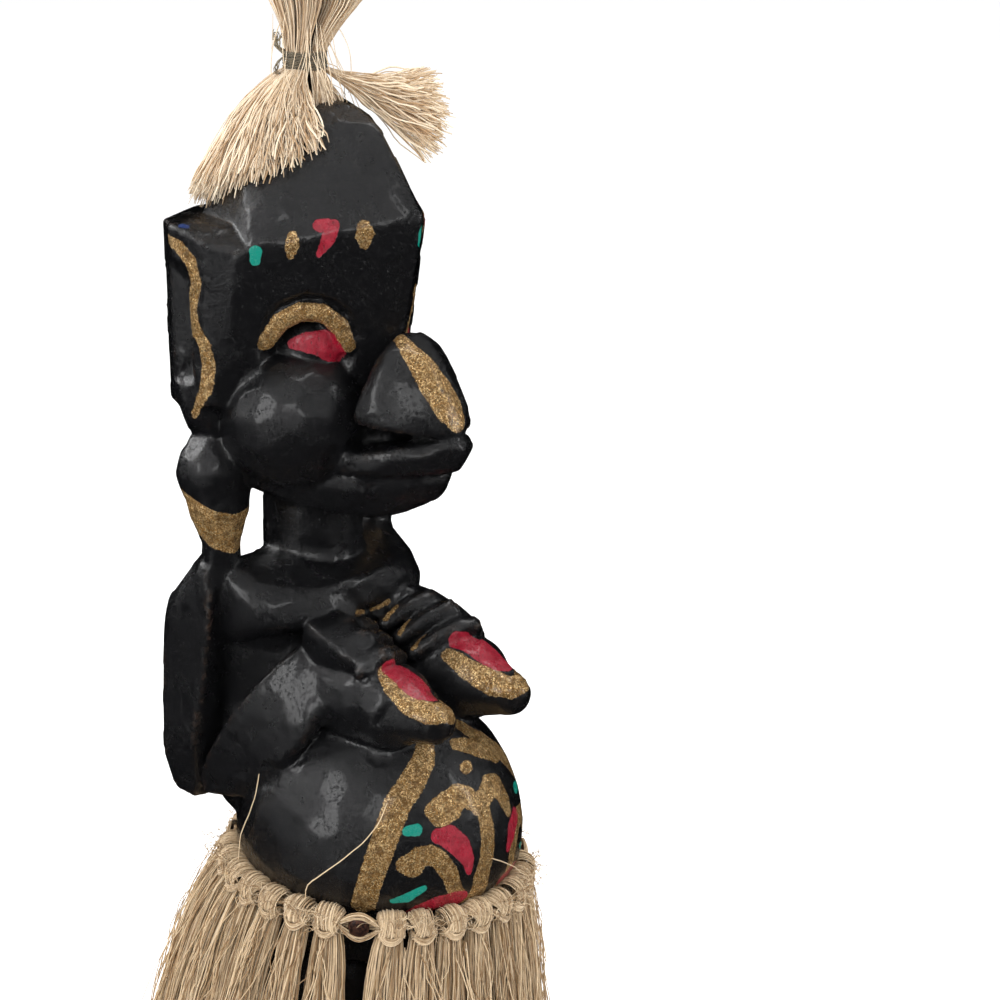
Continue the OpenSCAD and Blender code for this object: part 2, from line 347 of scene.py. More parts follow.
def egg(at, radii):
    """An ellipsoid along the axes."""

    def distance(*spot):
        across = [(v - m) / n for v, m, n in zip(spot, at, radii)]
        k = np.sqrt(sum(a * a for a in across))
        slope = np.sqrt(sum((a / n) ** 2 for a, n in zip(across, radii)))
        return k * (k - 1) / np.maximum(slope, TINY)

    return Shape(np.array(at) - radii, np.array(at) + radii, distance)


def limb(*stops):
    """A string of round lengths; each stop is x, y, z and a radius."""
    stops = np.array(stops, float)

    def distance(x, y, z):
        best = None
        for a, b in zip(stops[:-1], stops[1:]):
            along = b[:3] - a[:3]
            t = ((x - a[0]) * along[0] + (y - a[1]) * along[1] + (z - a[2]) * along[2]) / (along @ along)
            t = np.clip(t, 0, 1)
            d = np.sqrt((x - a[0] - t * along[0]) ** 2 + (y - a[1] - t * along[1]) ** 2
                        + (z - a[2] - t * along[2]) ** 2) - (a[3] + t * (b[3] - a[3]))
            best = d if best is None else np.minimum(best, d)
        return best

    reach = stops[:, 3:4]
    return Shape((stops[:, :3] - reach).min(0), (stops[:, :3] + reach).max(0), distance)


def block(points, soft):
    """The convex solid round some points, its edges eased."""
    bm = bmesh.new()
    for p in points:
        bm.verts.new(p)
    bmesh.ops.convex_hull(bm, input=bm.verts)
    bmesh.ops.recalc_face_normals(bm, faces=bm.faces)
    planes = {}
    for f in bm.faces:
        n = f.normal
        planes[round(n.x, 2), round(n.y, 2), round(n.z, 2)] = (tuple(n), n.dot(f.verts[0].co))
    bm.free()

    def distance(x, y, z):
        worst = None
        for n, k in planes.values():
            d = n[0] * x + n[1] * y + n[2] * z - k
            worst = d if worst is None else -join(-worst, -d, soft)
        return worst

    corners = np.array(points)
    return Shape(corners.min(0), corners.max(0), distance)


def wide_block(points, soft):
    """A block across the middle plane, from the points of its right half."""
    return block(points + [(-x, y, z) for x, y, z in points if x], soft)


class Carving:
    """Distances to the surface, on a grid over the right half of the doll up to its middle plane."""

    def __init__(self, low, high, step):
        counts = [int(round((h - l) / step)) + 1 for l, h in zip(low, high)]
        self.low, self.step = low, step
        self.axes = [l + step * np.arange(n) for l, n in zip(low, counts)]
        self.field = np.full(counts, FAR, np.float32)

    def near(self, shape):
        """The part of the grid round a shape, and its distances there with its mirror twin's."""
        cuts = tuple(slice(int(np.searchsorted(a, l - FAR)), int(np.searchsorted(a, h + FAR)))
                     for a, l, h in zip(self.axes, shape.low, shape.high))
        x, y, z = (a[c].astype(np.float32) for a, c in zip(self.axes, cuts))
        x, y, z = x[:, None, None], y[None, :, None], z[None, None, :]
        d = shape.distance(x, y, z)
        if shape.high[0] > -FAR:
            d = np.minimum(d, shape.distance(-x, y, z))
        return cuts, d

    def put(self, shape, soft):
        """Adds a shape and its twin, with a fillet where they meet the rest."""
        cuts, d = self.near(shape)
        self.field[cuts] = join(self.field[cuts], d, soft)

    def cut(self, shape, soft):
        """Takes a shape and its twin away."""
        cuts, d = self.near(shape)
        self.field[cuts] = -join(-self.field[cuts], d, soft)

    def mesh(self):
        """Points and quads of the whole surface, in millimetres, facing out."""
        whole = np.concatenate([self.field, self.field[-2::-1]], axis=0)
        grid = openvdb.FloatGrid(FAR)
        grid.copyFromArray(np.ascontiguousarray(whole))
        points, _, quads = grid.convertToPolygons(isovalue=0.0, adaptivity=0.0)
        return np.array(points) * self.step + np.array(self.low), np.array(quads)[:, ::-1]

    def rounded(self, points, cells):
        """How convex the surface is at each point: the mean distance round it, in millimetres."""
        smooth = self.field.copy()
        for axis in range(3):
            total = sum(np.roll(smooth, s, axis) for s in range(-cells, cells + 1))
            smooth = total / (2 * cells + 1)
        at = points.copy()
        at[:, 0] = -np.abs(at[:, 0])
        index = np.rint((at - np.array(self.low)) / self.step).astype(int)
        index = np.clip(index, 0, np.array(self.field.shape) - 1)
        i, j, k = index.T
        return smooth[i, j, k] - self.field[i, j, k]


# ---- carving the doll

GRID_STEP = 0.8
GRID_LOW, GRID_HIGH = (-48, -52, -4), (0, 52, 332)


def carve_lower(c):
    """Base, feet, bent legs and hips, all hidden by the skirt down to the shins."""
    turn = np.linspace(0, 2 * math.pi, 29)[:-1]
    rim = [(BASE_RADIUS * 0.985 * math.cos(a), BASE_RADIUS * 0.985 * math.sin(a)) for a in turn]
    c.put(block([(x, y, z) for x, y in rim for z in (0.0, BASE_HEIGHT)], 2.0), 1.0)
    c.put(limb((-18, 6, 86, 16), (-20, -15, 57, 12.5)), 4)
    c.put(limb((-20, -15, 57, 11.5), (-19, 1, 36, 11), (-19, 5, 22, 9)), 3)
    c.put(limb((-19, 7, 19, 9), (-19, -10, 19, 8.5), (-19.5, -24, 16.5, 6.5)), 3)
    for toe in range(4):
        c.cut(limb((-13.5 - 3.6 * toe, -33, 20, 0.6), (-14.5 - 3 * toe, -24, 24, 0.7)), 0.8)
    c.put(egg((0, 5, 86), (32.5, 32, 25)), 4)
    c.put(egg((-14, 20, 84), (15.5, 17, 16)), 3)
    c.cut(limb((0, 38, 100, 1), (0, 40, 74, 2.2)), 3)


BELLY_RISE, BELLY_RADIUS = 9.0, 35.5
BELLY_UP, BELLY_DOWN = 37.0, 20.0
WAIST_RADIUS, WAIST_HALF = 31.3, 13


def in_ring(x, y, z):
    """Distance from the ring's axis, and height along it above the ring."""
    _, back_way, up_way = RING_AXES
    x, y, z = x - RING_AT[0], y - RING_AT[1], z - RING_AT[2]
    back = back_way[1] * y + back_way[2] * z
    return np.sqrt(x * x + back * back), up_way[1] * y + up_way[2] * z


def carve_belly(c):
    """The waist that the ring lies on, and the belly over it, taller above its widest part."""
    centre = np.array(RING_AT)

    def belly(x, y, z):
        rho, up = in_ring(x, y, z)
        up = up - BELLY_RISE
        tall = np.where(up > 0, BELLY_UP, BELLY_DOWN)
        k = np.sqrt((rho / BELLY_RADIUS) ** 2 + (up / tall) ** 2)
        slope = np.sqrt((rho / BELLY_RADIUS ** 2) ** 2 + (up / tall ** 2) ** 2)
        return k * (k - 1) / np.maximum(slope, TINY)

    def waist(x, y, z):
        rho, up = in_ring(x, y, z)
        return np.maximum(rho - WAIST_RADIUS, np.abs(up) - WAIST_HALF)

    c.put(Shape(centre - (40, 40, 18), centre + (40, 40, 18), waist), 3)
    c.put(Shape(centre - (40, 44, 16), centre + (40, 36, 50), belly), 1.2)


def carve_trunk(c):
    """Chest, back, and the round bar of the shoulders over the arms."""
    c.put(wide_block([(0, -6.5, 186), (-9, -4, 185), (-16, 0.5, 183), (-24, 6, 182), (-28, 14, 184),
        (-30, 29, 180), (-14, 32.5, 182), (0, 31.5, 183), (0, 20, 190), (-14, 18, 190), (0, -7.5, 152),
        (-14, -4, 152), (-21.5, 4, 154), (-24, 14, 150), (-24, 28, 150), (0, 32, 152)], 1.6), 1)
    c.put(wide_block([(-30, 19, 190), (-31.5, 10, 187), (-28, 2, 185), (-20, -6, 184), (-9, -9.4, 186),
        (0, -10, 187.5), (0, 6, 192), (-16, 8, 192), (-26, 10, 192), (-31, 7, 178), (-28, -2, 177),
        (-20, -8, 176), (0, -10.5, 177), (-20, 5, 170), (-30, 14, 170), (0, 0, 170)], 3.4), 1.6)
    c.put(wide_block([(0, -7, 156), (-21, 4, 156), (-25, 12, 154), (-25, 28, 152), (0, 32, 154),
        (0, -10, 122), (-26, -2, 122), (-27, 12, 124), (-20, 27, 125), (0, 28, 125)], 3), 1.5)
    c.cut(limb((0, 36.5, 178, 3), (0, 35, 150, 3), (0, 31.5, 128, 2.5)), 4)
    c.cut(block([(-8, 38, 182), (-22, 36, 182), (-9, 38, 152), (-10, 30.5, 168), (-17, 30, 176)], 1), 2)


def carve_arm(c):
    """The upper arm as a slab cut flat by the log's side, and a forearm with a sharp upper edge."""
    c.put(block([(-28, 14, 193), (-29.5, 21.4, 191.5), (-33.3, 15.5, 190), (-34.5, 12.5, 179),
        (-34.5, 28, 177), (-31, 30.7, 179.5), (-34.5, 17.5, 163), (-35, 30, 162), (-34.5, 19.5, 146),
        (-35, 30.5, 141), (-31, 32.4, 139), (-31.5, 29.8, 130), (-31, 22.4, 128.8), (-22, 16, 191),
        (-23, 29, 184), (-24, 17, 165), (-24, 30, 140), (-24, 22, 129)], 1.0), 0.8)
    c.put(block([(-34.3, 21.5, 139.5), (-34, 12.5, 152), (-31.3, 5, 162.5), (-26, -1.5, 170.5),
        (-19, -6.5, 177), (-14, -9, 181.5), (-31.5, 22, 129), (-30, 8, 130.5), (-31, -4, 139),
        (-29.5, -12.5, 150), (-26, -17, 158), (-20, -18, 166), (-15, -17, 174), (-24, 22, 131),
        (-24, 6, 132), (-20, -8, 146), (-14, -10, 160), (-10, -6, 176)], 3.0), 0.8)


FINGERS = (((-2.6, -5.9, 174.4), (-13.5, -7.5, 176.9)), ((-2.6, -10.4, 172.7), (-14.5, -13.8, 176.6)),
           ((-2.6, -15.0, 170.0), (-15.2, -20.3, 175.2)), ((-2.6, -19.4, 167.0), (-15.8, -26.6, 172.4)))


def carve_hands(c):
    """Each hand lies on a breast; its four fingers run inwards, and their tips meet in the middle."""
    c.put(block([(-13.5, -6.5, 179.6), (-14.5, -13.8, 179.4), (-15.2, -20.3, 178), (-15.8, -27.4, 174.6),
        (-20.5, -4, 179), (-23, -13, 176.5), (-23, -21, 173), (-21, -29, 168.5), (-7, -6, 177),
        (-7, -11, 175.6), (-7, -15.6, 173), (-6.5, -20.4, 170), (-6, -3, 174), (-17, -27, 162),
        (-22, -6, 168), (-7, -8, 164), (-6, -19, 161)], 2.0), 0.8)
    for tip, knuckle in FINGERS:
        middle = tuple((np.array(tip) + knuckle) / 2 + (0, 0, 0.7))
        inside = tuple(np.array(knuckle) + (-5.5, 3.0, -3.6))
        c.put(limb(tip + (2.1,), middle + (2.5,), knuckle + (2.6,), inside + (1.5,)), 0.9)
    for (t1, k1), (t2, k2) in zip(FINGERS[:-1], FINGERS[1:]):
        tip, knuckle = (np.array(t1) + t2) / 2, (np.array(k1) + k2) / 2
        c.cut(limb(tuple(tip + (0, -0.6, 1.9)) + (0.5,), tuple(tip / 2 + knuckle / 2 + (0, -0.6, 3.3)) +
            (0.6,), tuple(knuckle + (0, -0.6, 3.0)) + (0.3,)), 0.5)
    c.cut(limb((0, -4, 178, 0.8), (0, -12, 174, 0.7), (0, -22, 167.6, 0.8)), 0.6)


def carve_breasts(c):
    """Two pointed cones that reach forward over the belly."""
    c.put(limb((-12.5, -14, 160, 11.5), (-14, -27, 159.8, 10.2), (-14, -40.2, 158.4, 5.2)), 2.0)


def carve_neck(c):
    """A round neck under the crown's peg."""
    ring = [(12.6 * math.sin(a), PEG_Y - 12.6 * math.cos(a)) for a in np.linspace(0, math.pi, 7)]
    c.put(wide_block([(-x, y, z) for x, y in ring for z in (180, 214)], 1.2), 2.0)


def carve_head(c):
    """The square head, the jaw under it, the hollow in each ear block, and its notch."""
    c.put(wide_block([(0, -25.6, 271.5), (-31, 1, 268.5), (-36, 10.5, 270), (-36, 21.5, 273.5),
        (-31, 28.6, 273.5), (-12, 38, 273), (0, -14.2, 226), (-27.5, 10, 228), (-35.2, 10.8, 231),
        (-35.6, 20.5, 230), (-30.5, 28.6, 230), (-11, 36, 224)], 1.0), 1)
    c.put(wide_block([(0, -27.5, 206.4), (-7, -25, 206.2), (0, -20, 202.4), (-6, -18, 202.2),
        (-11.4, -7.5, 202.2), (-17, -1, 204.8), (-25.5, 5.6, 209.6), (0, -13, 200.6), (-15, 17, 206),
        (0, 21, 206), (-28, 8, 227), (-28, 24, 227), (0, -20, 226), (-14, 34, 226)], 2.0), 1.5)
    c.cut(block([(-38, 15.4, 264), (-38, 14.6, 234), (-38, 25.5, 269), (-38, 24.5, 233),
        (-32.4, 16.6, 260), (-32.4, 16.2, 238), (-35.4, 25.5, 266), (-34.8, 24.5, 236)], 0.6), 0.6)
    c.cut(block([(-40, 6, 233), (-40, 40, 226), (-31, 6, 224), (-31, 40, 220), (-40, 6, 215),
        (-40, 40, 215), (-35.6, 6, 229), (-35.4, 40, 226)], 1), 1.5)


def carve_crown(c):
    """The bevelled crown and its peg."""
    c.put(wide_block([(0, -25.9, 275), (0, -24.8, 270.5), (-31, 0.5, 268.3), (-25.5, 14.5, 272),
        (-20, 27, 273), (-8, 33, 273), (-21, 11, 286), (0, -12.7, 295.3), (-10.5, 1, 296.5), (0, -3, 300),
        (-7, 5, 300), (-8, 18, 299.5), (0, 23, 299), (-13, 27, 288), (0, 32, 288)], 1.0), 0.6)
    c.put(limb((PEG_X, PEG_Y, 296, 3.2), (PEG_X, PEG_Y, PEG_TOP - 2.4, 2.4)), 1.5)


FACE_AT = np.array([0, -22.0, 257.3])
FACE_OUT = np.array([-0.628, -0.755, -0.188])
FACE_SIDE = np.array([-0.769, 0.639, 0])
FACE_UP = np.array([-0.120, -0.1445, 0.982])


def on_face(side, up, lift=0.0):
    """A point on the flat right half of the face: out from the middle, up and proud of it."""
    return tuple(FACE_AT + side * FACE_SIDE + up * FACE_UP + lift * FACE_OUT)


EYE_ARCH = ((34.3, -11.5), (30.6, -6.7), (26.0, -4.4), (20.9, -4.9), (16.8, -8.2), (14.8, -12.8))


def carve_eye(c):
    """The hollow of the eye, the lid in it and the arch over it."""
    c.cut(egg(on_face(23.8, -11.6, 9.4), (15.0, 15.0, 15.0)), 0.7)
    c.put(egg(on_face(22.8, -15.8, -7.6), (8.8, 8.8, 8.8)), 0.6)
    c.put(limb(*[on_face(s, u, -1.7) + (2.7,) for s, u in EYE_ARCH]), 0.6)


CHEEK = egg((-14.4, 2.3, 226.0), (18.6, 17.8, 17.2))


def carve_face(c):
    """Eyes, cheeks, nose, both lips, the mouth between them and the nostrils."""
    carve_eye(c)
    c.put(CHEEK, 0.6)
    c.put(wide_block([(0, -20.5, 249.8), (-4.5, -19.5, 249.5), (0, -29.5, 245.2), (-6, -27.5, 244.8),
        (-12.5, -20.5, 244), (0, -35.5, 237), (-8, -31.8, 237), (-15, -22.5, 236.5), (0, -38.6, 228.5),
        (-8.5, -35.4, 228.5), (-16, -26.5, 229.5), (-18, -16, 230), (0, -39.4, 223), (-7, -36.9, 223.3),
        (-12, -32.6, 225.4), (-16.2, -26.8, 227), (-18, -15, 227)], 3.4), 0.6)
    c.put(wide_block([(0, -38.6, 225), (-6.5, -35.7, 225), (0, -40.2, 220.8), (-7, -37, 220.6),
        (0, -38.4, 216.6), (-7, -34.8, 216.4), (0, -37.2, 214.6), (-6.5, -34, 214.6), (-14, -27.5, 222.5),
        (-15, -27.0, 217.6), (-13.5, -24.5, 214.0), (-18, -14, 221), (-18, -12.5, 213.8), (0, 0, 218)],
        2.6), 1.4)
    c.put(wide_block([(0, -33.2, 215), (-7, -30.4, 215), (0, -31.6, 209.4), (-6.5, -28.4, 209.4),
        (0, -28.6, 206.4), (-6, -26.5, 206.6), (-14, -21, 215), (-14, -18.5, 208.4), (-17.5, -9, 214.6),
        (-16, -8, 207.6), (0, 0, 207)], 2.0), 1.0)
    c.cut(limb((-4, -40.4, 220.6, 0.7), (-8, -37.8, 220.1, 0.8), (-14, -28.6, 219.6, 0.8),
        (-18, -17, 218.6, 0.5)), 0.9)
    c.cut(egg((-11.5, -34.5, 223.6), (4.4, 5.0, 2.2)), 0.9)
    c.cut(egg((0, -42.6, 222.8), (3.0, 1.8, 1.3)), 0.9)
    c.cut(limb((0, -38.2, 213.9, 0.7), (-7, -34.4, 213.7, 0.7), (-14, -25.2, 213.4, 0.7),
        (-18.6, -12.5, 214.0, 0.5)), 0.6)


def carve_pendant(c):
    """The strut from the ear down to the shoulder."""
    c.put(limb((-30.5, 18, 229, 4.6), (-29.5, 17, 222, 4.6), (-28, 16.5, 213, 9.0), (-28, 15.5, 205, 7.2),
        (-27.6, 15.2, 195, 4.3), (-27, 16.5, 188, 4.8)), 1.6)


def carve_doll():
    """The whole carving, from the base up."""
    c = Carving(GRID_LOW, GRID_HIGH, GRID_STEP)
    for part in (carve_lower, carve_trunk, carve_belly, carve_neck, carve_arm, carve_breasts, carve_hands,
                 carve_pendant, carve_head, carve_crown, carve_face):
        part(c)
    c.field[:, :, : int(round(-GRID_LOW[2] / GRID_STEP))] = FAR      # a flat seat at height 0
    return c


# ---- mesh work on the carving


def new_mesh(name, points, quads):
    """A smooth mesh from points in millimetres and quads."""
    mesh = bpy.data.meshes.new(name)
    mesh.vertices.add(len(points))
    mesh.vertices.foreach_set("co", (np.asarray(points, np.float32) * MM).ravel())
    mesh.loops.add(4 * len(quads))
    mesh.loops.foreach_set("vertex_index", np.asarray(quads, np.int32).ravel())
    mesh.polygons.add(len(quads))
    mesh.polygons.foreach_set("loop_start", 4 * np.arange(len(quads), dtype=np.int32))
    mesh.update(calc_edges=True)
    mesh.shade_smooth()
    return mesh


def set_values(mesh, name, values):
    """Stores a number at each point of a mesh, for its material to read."""
    layer = mesh.attributes.new(name, "FLOAT", "POINT")
    layer.data.foreach_set("value", np.asarray(values, np.float32))


def new_object(name, mesh, look):
    piece = bpy.data.objects.new(name, mesh)
    SCENE.collection.objects.link(piece)
    mesh.materials.append(look)
    return piece


def unit(v):
    """Vectors scaled to a length of 1."""
    return v / np.maximum(np.linalg.norm(v, axis=-1, keepdims=True), 1e-9)


def point_normals(points, quads):
    """Area-weighted normals at the points."""
    a, b, c, d = (points[quads[:, i]] for i in range(4))
    face = np.cross(c - a, d - b)
    total = np.zeros_like(points)
    for i in range(4):
        np.add.at(total, quads[:, i], face)
    return unit(total)


CUT_TRIES = 40000
CUT_SPACING = 5.2
CUT_DEPTH = 0.32
CUT_SHARE = 0.75
CUT_FACING = 0.75


def tree_of(points):
    """A tree that finds the nearest of some points."""
    tree = kdtree.KDTree(len(points))
    for i, p in enumerate(points):
        tree.insert(p, i)
    tree.balance()
    return tree


def knife_cuts(points, normals, rng):
    """Flattens the surface a little round scattered points, as strokes of a knife leave it."""
    order = rng.permutation(len(points))[:CUT_TRIES]
    tree = tree_of(points[order])
    seeds, blocked = [], np.zeros(len(order), bool)
    for i, p in enumerate(order):
        if not blocked[i]:
            seeds.append(p)
            for _, near, _ in tree.find_range(points[p], CUT_SPACING):
                blocked[near] = True
    tree = tree_of(points[seeds])
    nearest = np.array(seeds)[[tree.find(p)[1] for p in points]]
    at, face = points[nearest], normals[nearest]
    off = np.einsum("ij,ij->i", points - at, face)
    same_side = np.einsum("ij,ij->i", normals, face) > CUT_FACING
    move = np.where(same_side, np.clip(CUT_SHARE * off, -CUT_DEPTH, CUT_DEPTH), 0)
    return points - move[:, None] * face


# ---- paint


PAINT_FAR = 9.0         # the distance given to points that no stroke is near
KEEP_OFF = 0.5          # how far a stroke stops short of the shape that it keeps off


class Brush:
    """Strokes of one colour; each stop of a stroke is x, y, z and a radius, in millimetres."""

    def __init__(self, surface):
        self.surface, self.strokes = surface, []

    def stroke(self, stops, both=True, keep_off=None):
        """Lays a stroke on the surface, given on the doll's right, and with both its twin too."""
        snapped = [(*self.surface.find_nearest(Vector(stop[:3]))[0], stop[3]) for stop in stops]
        self.strokes.append((limb(*snapped), both, keep_off))

    def distances(self, points):
        best = np.full(len(points), PAINT_FAR)
        for shape, both, keep_off in self.strokes:
            at = (-np.abs(points[:, 0]) if both else points[:, 0], points[:, 1], points[:, 2])
            d = shape.distance(*at)
            if keep_off:
                d = np.maximum(d, KEEP_OFF - keep_off.distance(*at))
            best = np.minimum(best, d)
        return best


def ring_out(turn):
    """The way out of the ring at an angle from the front towards the doll's right."""
    a = math.radians(turn)
    return RING_AXES.T @ np.array([-math.sin(a), -math.cos(a), 0])


def on_belly(surface, turn, height):
    """The belly's surface at an angle round the ring and a height above it."""
    out = ring_out(turn)
    axis = np.array(RING_AT) + RING_AXES[2] * height
    return tuple(surface.ray_cast(Vector(axis + out * 60), Vector(-out))[0])


def paint_belly(surface, gold, red, teal):
    """Two slanting bands, and between them a stem with leaves, hooks and drops."""

    def mark(brush, stops, twin=False):
        """A stroke by angle, height and radius, and its twin on the other side of the stem."""
        for side in (1, -1) if twin else (1,):
            brush.stroke([on_belly(surface, side * a, h) + (r,) for a, h, r in stops], both=False)

    mark(gold, [(19, 40.5, 2.0), (26.4, 37, 2.8), (35.2, 33, 3.2), (42.5, 29, 3.3), (46.4, 22.8, 3.2),
        (49.6, 16, 3.1), (52, 9.7, 3.0), (53.5, 4, 3.0)], True)
    mark(gold, [(-1, 38.5, 1.7), (-9, 37.6, 2.3), (-17, 36, 2.5), (-27, 33, 2.1)])
    mark(gold, [(2.2, 34.2, 1.5), (-0.8, 34.4, 1.5)])
    mark(gold, [(26, 27.4, 2.2), (22.3, 27.0, 3.6), (17.5, 28.0, 3.8), (12, 29.6, 2.9), (7, 29.0, 2.6),
        (2.2, 26.4, 2.6)])
    mark(gold, [(-2.5, 27.2, 2.4), (-9.5, 29.0, 2.9), (-15, 28.2, 3.0), (-17.2, 24.5, 2.6),
        (-18.2, 21.6, 1.6)])
    mark(gold, [(-0.3, 25.9, 2.4), (-0.7, 22.6, 2.4), (-0.5, 19.1, 2.5), (0.9, 14.4, 2.5),
        (3.5, 9.7, 2.7), (4.4, 4.6, 3.1), (1.5, -0.7, 3.3)])
    mark(gold, [(38.5, 15.6, 2.2), (35.3, 15.6, 3.1), (33, 17.3, 2.5), (28.4, 17.9, 2.3),
        (24.1, 16.2, 2.3), (19.6, 12.3, 2.2), (16.6, 7.7, 2.0), (12, 3.4, 1.9)], True)
    mark(red, [(24.5, 21.8, 1.9), (19.5, 21.2, 2.9), (14.5, 18.4, 2.8), (11.3, 15.0, 1.9),
        (10.4, 11.8, 0.9)])
    mark(red, [(-24, 18.8, 2.4), (-18.5, 16.6, 2.6), (-14.5, 13.2, 1.4)])
    mark(red, [(36, 1.2, 1.0), (30, 2.8, 2.4), (23.6, 3.9, 2.9), (16.7, 4.6, 2.8),
        (12.8, 5.0, 2.0)], True)
    mark(teal, [(38, 23.4, 1.2), (34, 23.6, 1.5)], True)
    mark(teal, [(42, 6.1, 0.8), (36.7, 7.0, 1.3), (30.3, 9.5, 0.8)], True)


def paint_head(gold, red, teal, blue):
    """The ear's wavy line and dots, the marks along the brow, the eye and the nose's ridge."""
    gold.stroke([(-35.2, 22.4, 269.6, 1.2), (-35.9, 18.3, 268.2, 1.6), (-35.8, 14.5, 265.1, 1.7),
        (-35.6, 13.0, 260.1, 1.6), (-35.6, 14.6, 254.8, 1.6), (-35.5, 14.0, 249.7, 1.7),
        (-35.3, 11.2, 245.5, 1.8), (-34.9, 10.4, 240.3, 1.8), (-35.1, 11.4, 235, 1.7),
        (-34.4, 16.0, 227.9, 0.8)])
    blue.stroke([(-34.3, 18.8, 272.9, 0.9), (-34, 17.4, 272.7, 0.7)])
    teal.stroke([(-29.3, -0.2, 268.2, 1.5), (-29.3, 0, 266, 1.2)])
    gold.stroke([(-22.4, -5.4, 271.6, 1.1), (-23, -5.8, 269.3, 1.7), (-23.2, -5.3, 266.9, 0.9)])
    red.stroke([(-17.4, -9.4, 273.8, 1.6), (-15.2, -11.5, 273.6, 1.6), (-16.7, -11.3, 270.7, 1.7),
        (-18.3, -9.5, 266.6, 0.5)])
    gold.stroke([(-10.1, -16.6, 273.4, 1.6), (-10.1, -16.7, 271.5, 2.2), (-10.2, -16.7, 269.3, 1.3)])
    teal.stroke([(1.2, -24.6, 272.0, 1.3), (1.2, -24.4, 269.0, 1.1)], both=False)
    arch = zip(EYE_ARCH, (2.2, 2.7, 2.8, 2.7, 2.5, 2.0))
    gold.stroke([on_face(s, u, 0.5) + (r,) for (s, u), r in arch], keep_off=CHEEK)
    lid = ((28.2, -12.4, 1.3), (24.6, -12.2, 2.4), (20.6, -12.6, 3.3), (17.6, -15.6, 2.6))
    red.stroke([on_face(s, u, -0.5) + (r,) for s, u, r in lid], keep_off=CHEEK)
    gold.stroke([(-3.6, -20.5, 247.2, 1.5), (-4.0, -25.5, 243, 2.6), (-2.8, -30.8, 237.4, 3.8),
        (-1.4, -35.0, 232, 4.5), (-0.6, -36.8, 228.8, 3.0)], both=False)


def paint_body(gold, red):
    """The breasts' tips, which differ, and the finger nails."""
    gold.stroke([(-17.9, -28.5, 168.8, 1.7), (-19.2, -32, 166.5, 2.1), (-18.8, -37.3, 163.3, 2.5),
        (-16.6, -42, 161.5, 3.0), (-12.5, -44, 161.2, 2.8), (-9.7, -41, 163, 1.8)], both=False)
    red.stroke([(-16, -28.8, 170, 2.3), (-15, -32.4, 168.6, 3.4), (-13.8, -36.2, 166.0, 3.8),
        (-13.6, -38.8, 164.4, 2.2)], both=False)
    gold.stroke([(6.8, -27, 167.3, 1.8), (7.2, -33, 164.7, 2.6), (9.2, -38.8, 162.2, 3.3),
        (11.2, -43.2, 161, 2.8), (14.8, -43.8, 161.5, 2.4), (18, -41, 162.5, 2.0)], both=False)
    red.stroke([(10.6, -27.2, 169.8, 2.5), (12.7, -32.2, 168.4, 3.8), (14.6, -36.6, 165.6, 3.8)],
        both=False)
    for (x, y, z), _ in FINGERS:
        gold.stroke([(x + 1.2, y - 1.0, z + 1.8, 0.6), (x - 3.6, y - 1.0, z + 3.2, 0.7)])


PENDANT_BAND = (195.8, 207.4)
PENDANT_AT = (28, 15.8)
WEAR_CELLS, WEAR_ROUND = 2, 0.45    # the reach in grid cells, and the roundness that counts as 1
SEAM_CLEAR, SEAM_FADE = 0.8, 1.5    # no wear along the middle plane, where the two halves meet


def pendant_band(points):
    """Distance to the gold band round each ear pendant, slanting down towards the front."""
    x, y, z = points.T
    level = z - 0.5 * (y - 15)
    middle, half = sum(PENDANT_BAND) / 2, (PENDANT_BAND[1] - PENDANT_BAND[0]) / 2
    around = np.hypot(np.abs(x) - PENDANT_AT[0], y - PENDANT_AT[1]) - 10.5
    return np.maximum(np.abs(level - middle) - half, around)


def make_figure(rng, wood):
    """The carved and painted doll, as one mesh."""
    carving = carve_doll()
    points, quads = carving.mesh()
    points = knife_cuts(points, point_normals(points, quads), rng)
    mesh = new_mesh("carved_doll", points, quads)
    surface = BVHTree.FromPolygons(points.tolist(), quads.tolist())
    gold, red, teal, blue = (Brush(surface) for _ in range(4))
    paint_belly(surface, gold, red, teal)
    paint_head(gold, red, teal, blue)
    paint_body(gold, red)
    set_values(mesh, "gold", np.minimum(gold.distances(points), pendant_band(points)))
    for name, brush in (("red", red), ("teal", teal), ("blue", blue)):
        set_values(mesh, name, brush.distances(points))
    wear = np.clip(carving.rounded(points, WEAR_CELLS) / WEAR_ROUND, -1, 1.5)
    wear *= np.clip((np.abs(points[:, 0]) - SEAM_CLEAR) / SEAM_FADE, 0, 1)
    set_values(mesh, "wear", wear)
    figure = new_object("carved_doll", mesh, wood)
    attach(figure, "doll")
    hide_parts("carved_figure")


# ---- fibres


TUBE_SIDES = 4


def tubes(paths, radii, aside, flat):
    """Points and faces of closed tubes along n paths of k points. aside is the way they lie flat."""
    n, k, _ = paths.shape
    along = unit(np.gradient(paths, axis=1))
    across = unit(aside - np.sum(aside * along, axis=2, keepdims=True) * along)
    up = np.cross(along, across)
    turn = 2 * np.pi * np.arange(TUBE_SIDES) / TUBE_SIDES
    ring = across[:, :, None] * np.cos(turn)[:, None] + flat * up[:, :, None] * np.sin(turn)[:, None]
    points = paths[:, :, None] + radii[:, :, None, None] * ring
    index = np.arange(n * k * TUBE_SIDES).reshape(n, k, TUBE_SIDES)
    turned = np.roll(index, -1, axis=2)
    walls = np.stack([index[:, :-1], turned[:, :-1], turned[:, 1:], index[:, 1:]], axis=-1)
    ends = np.concatenate([index[:, 0, ::-1], index[:, -1]])
    return points.reshape(-1, 3), walls.reshape(-1, 4), ends


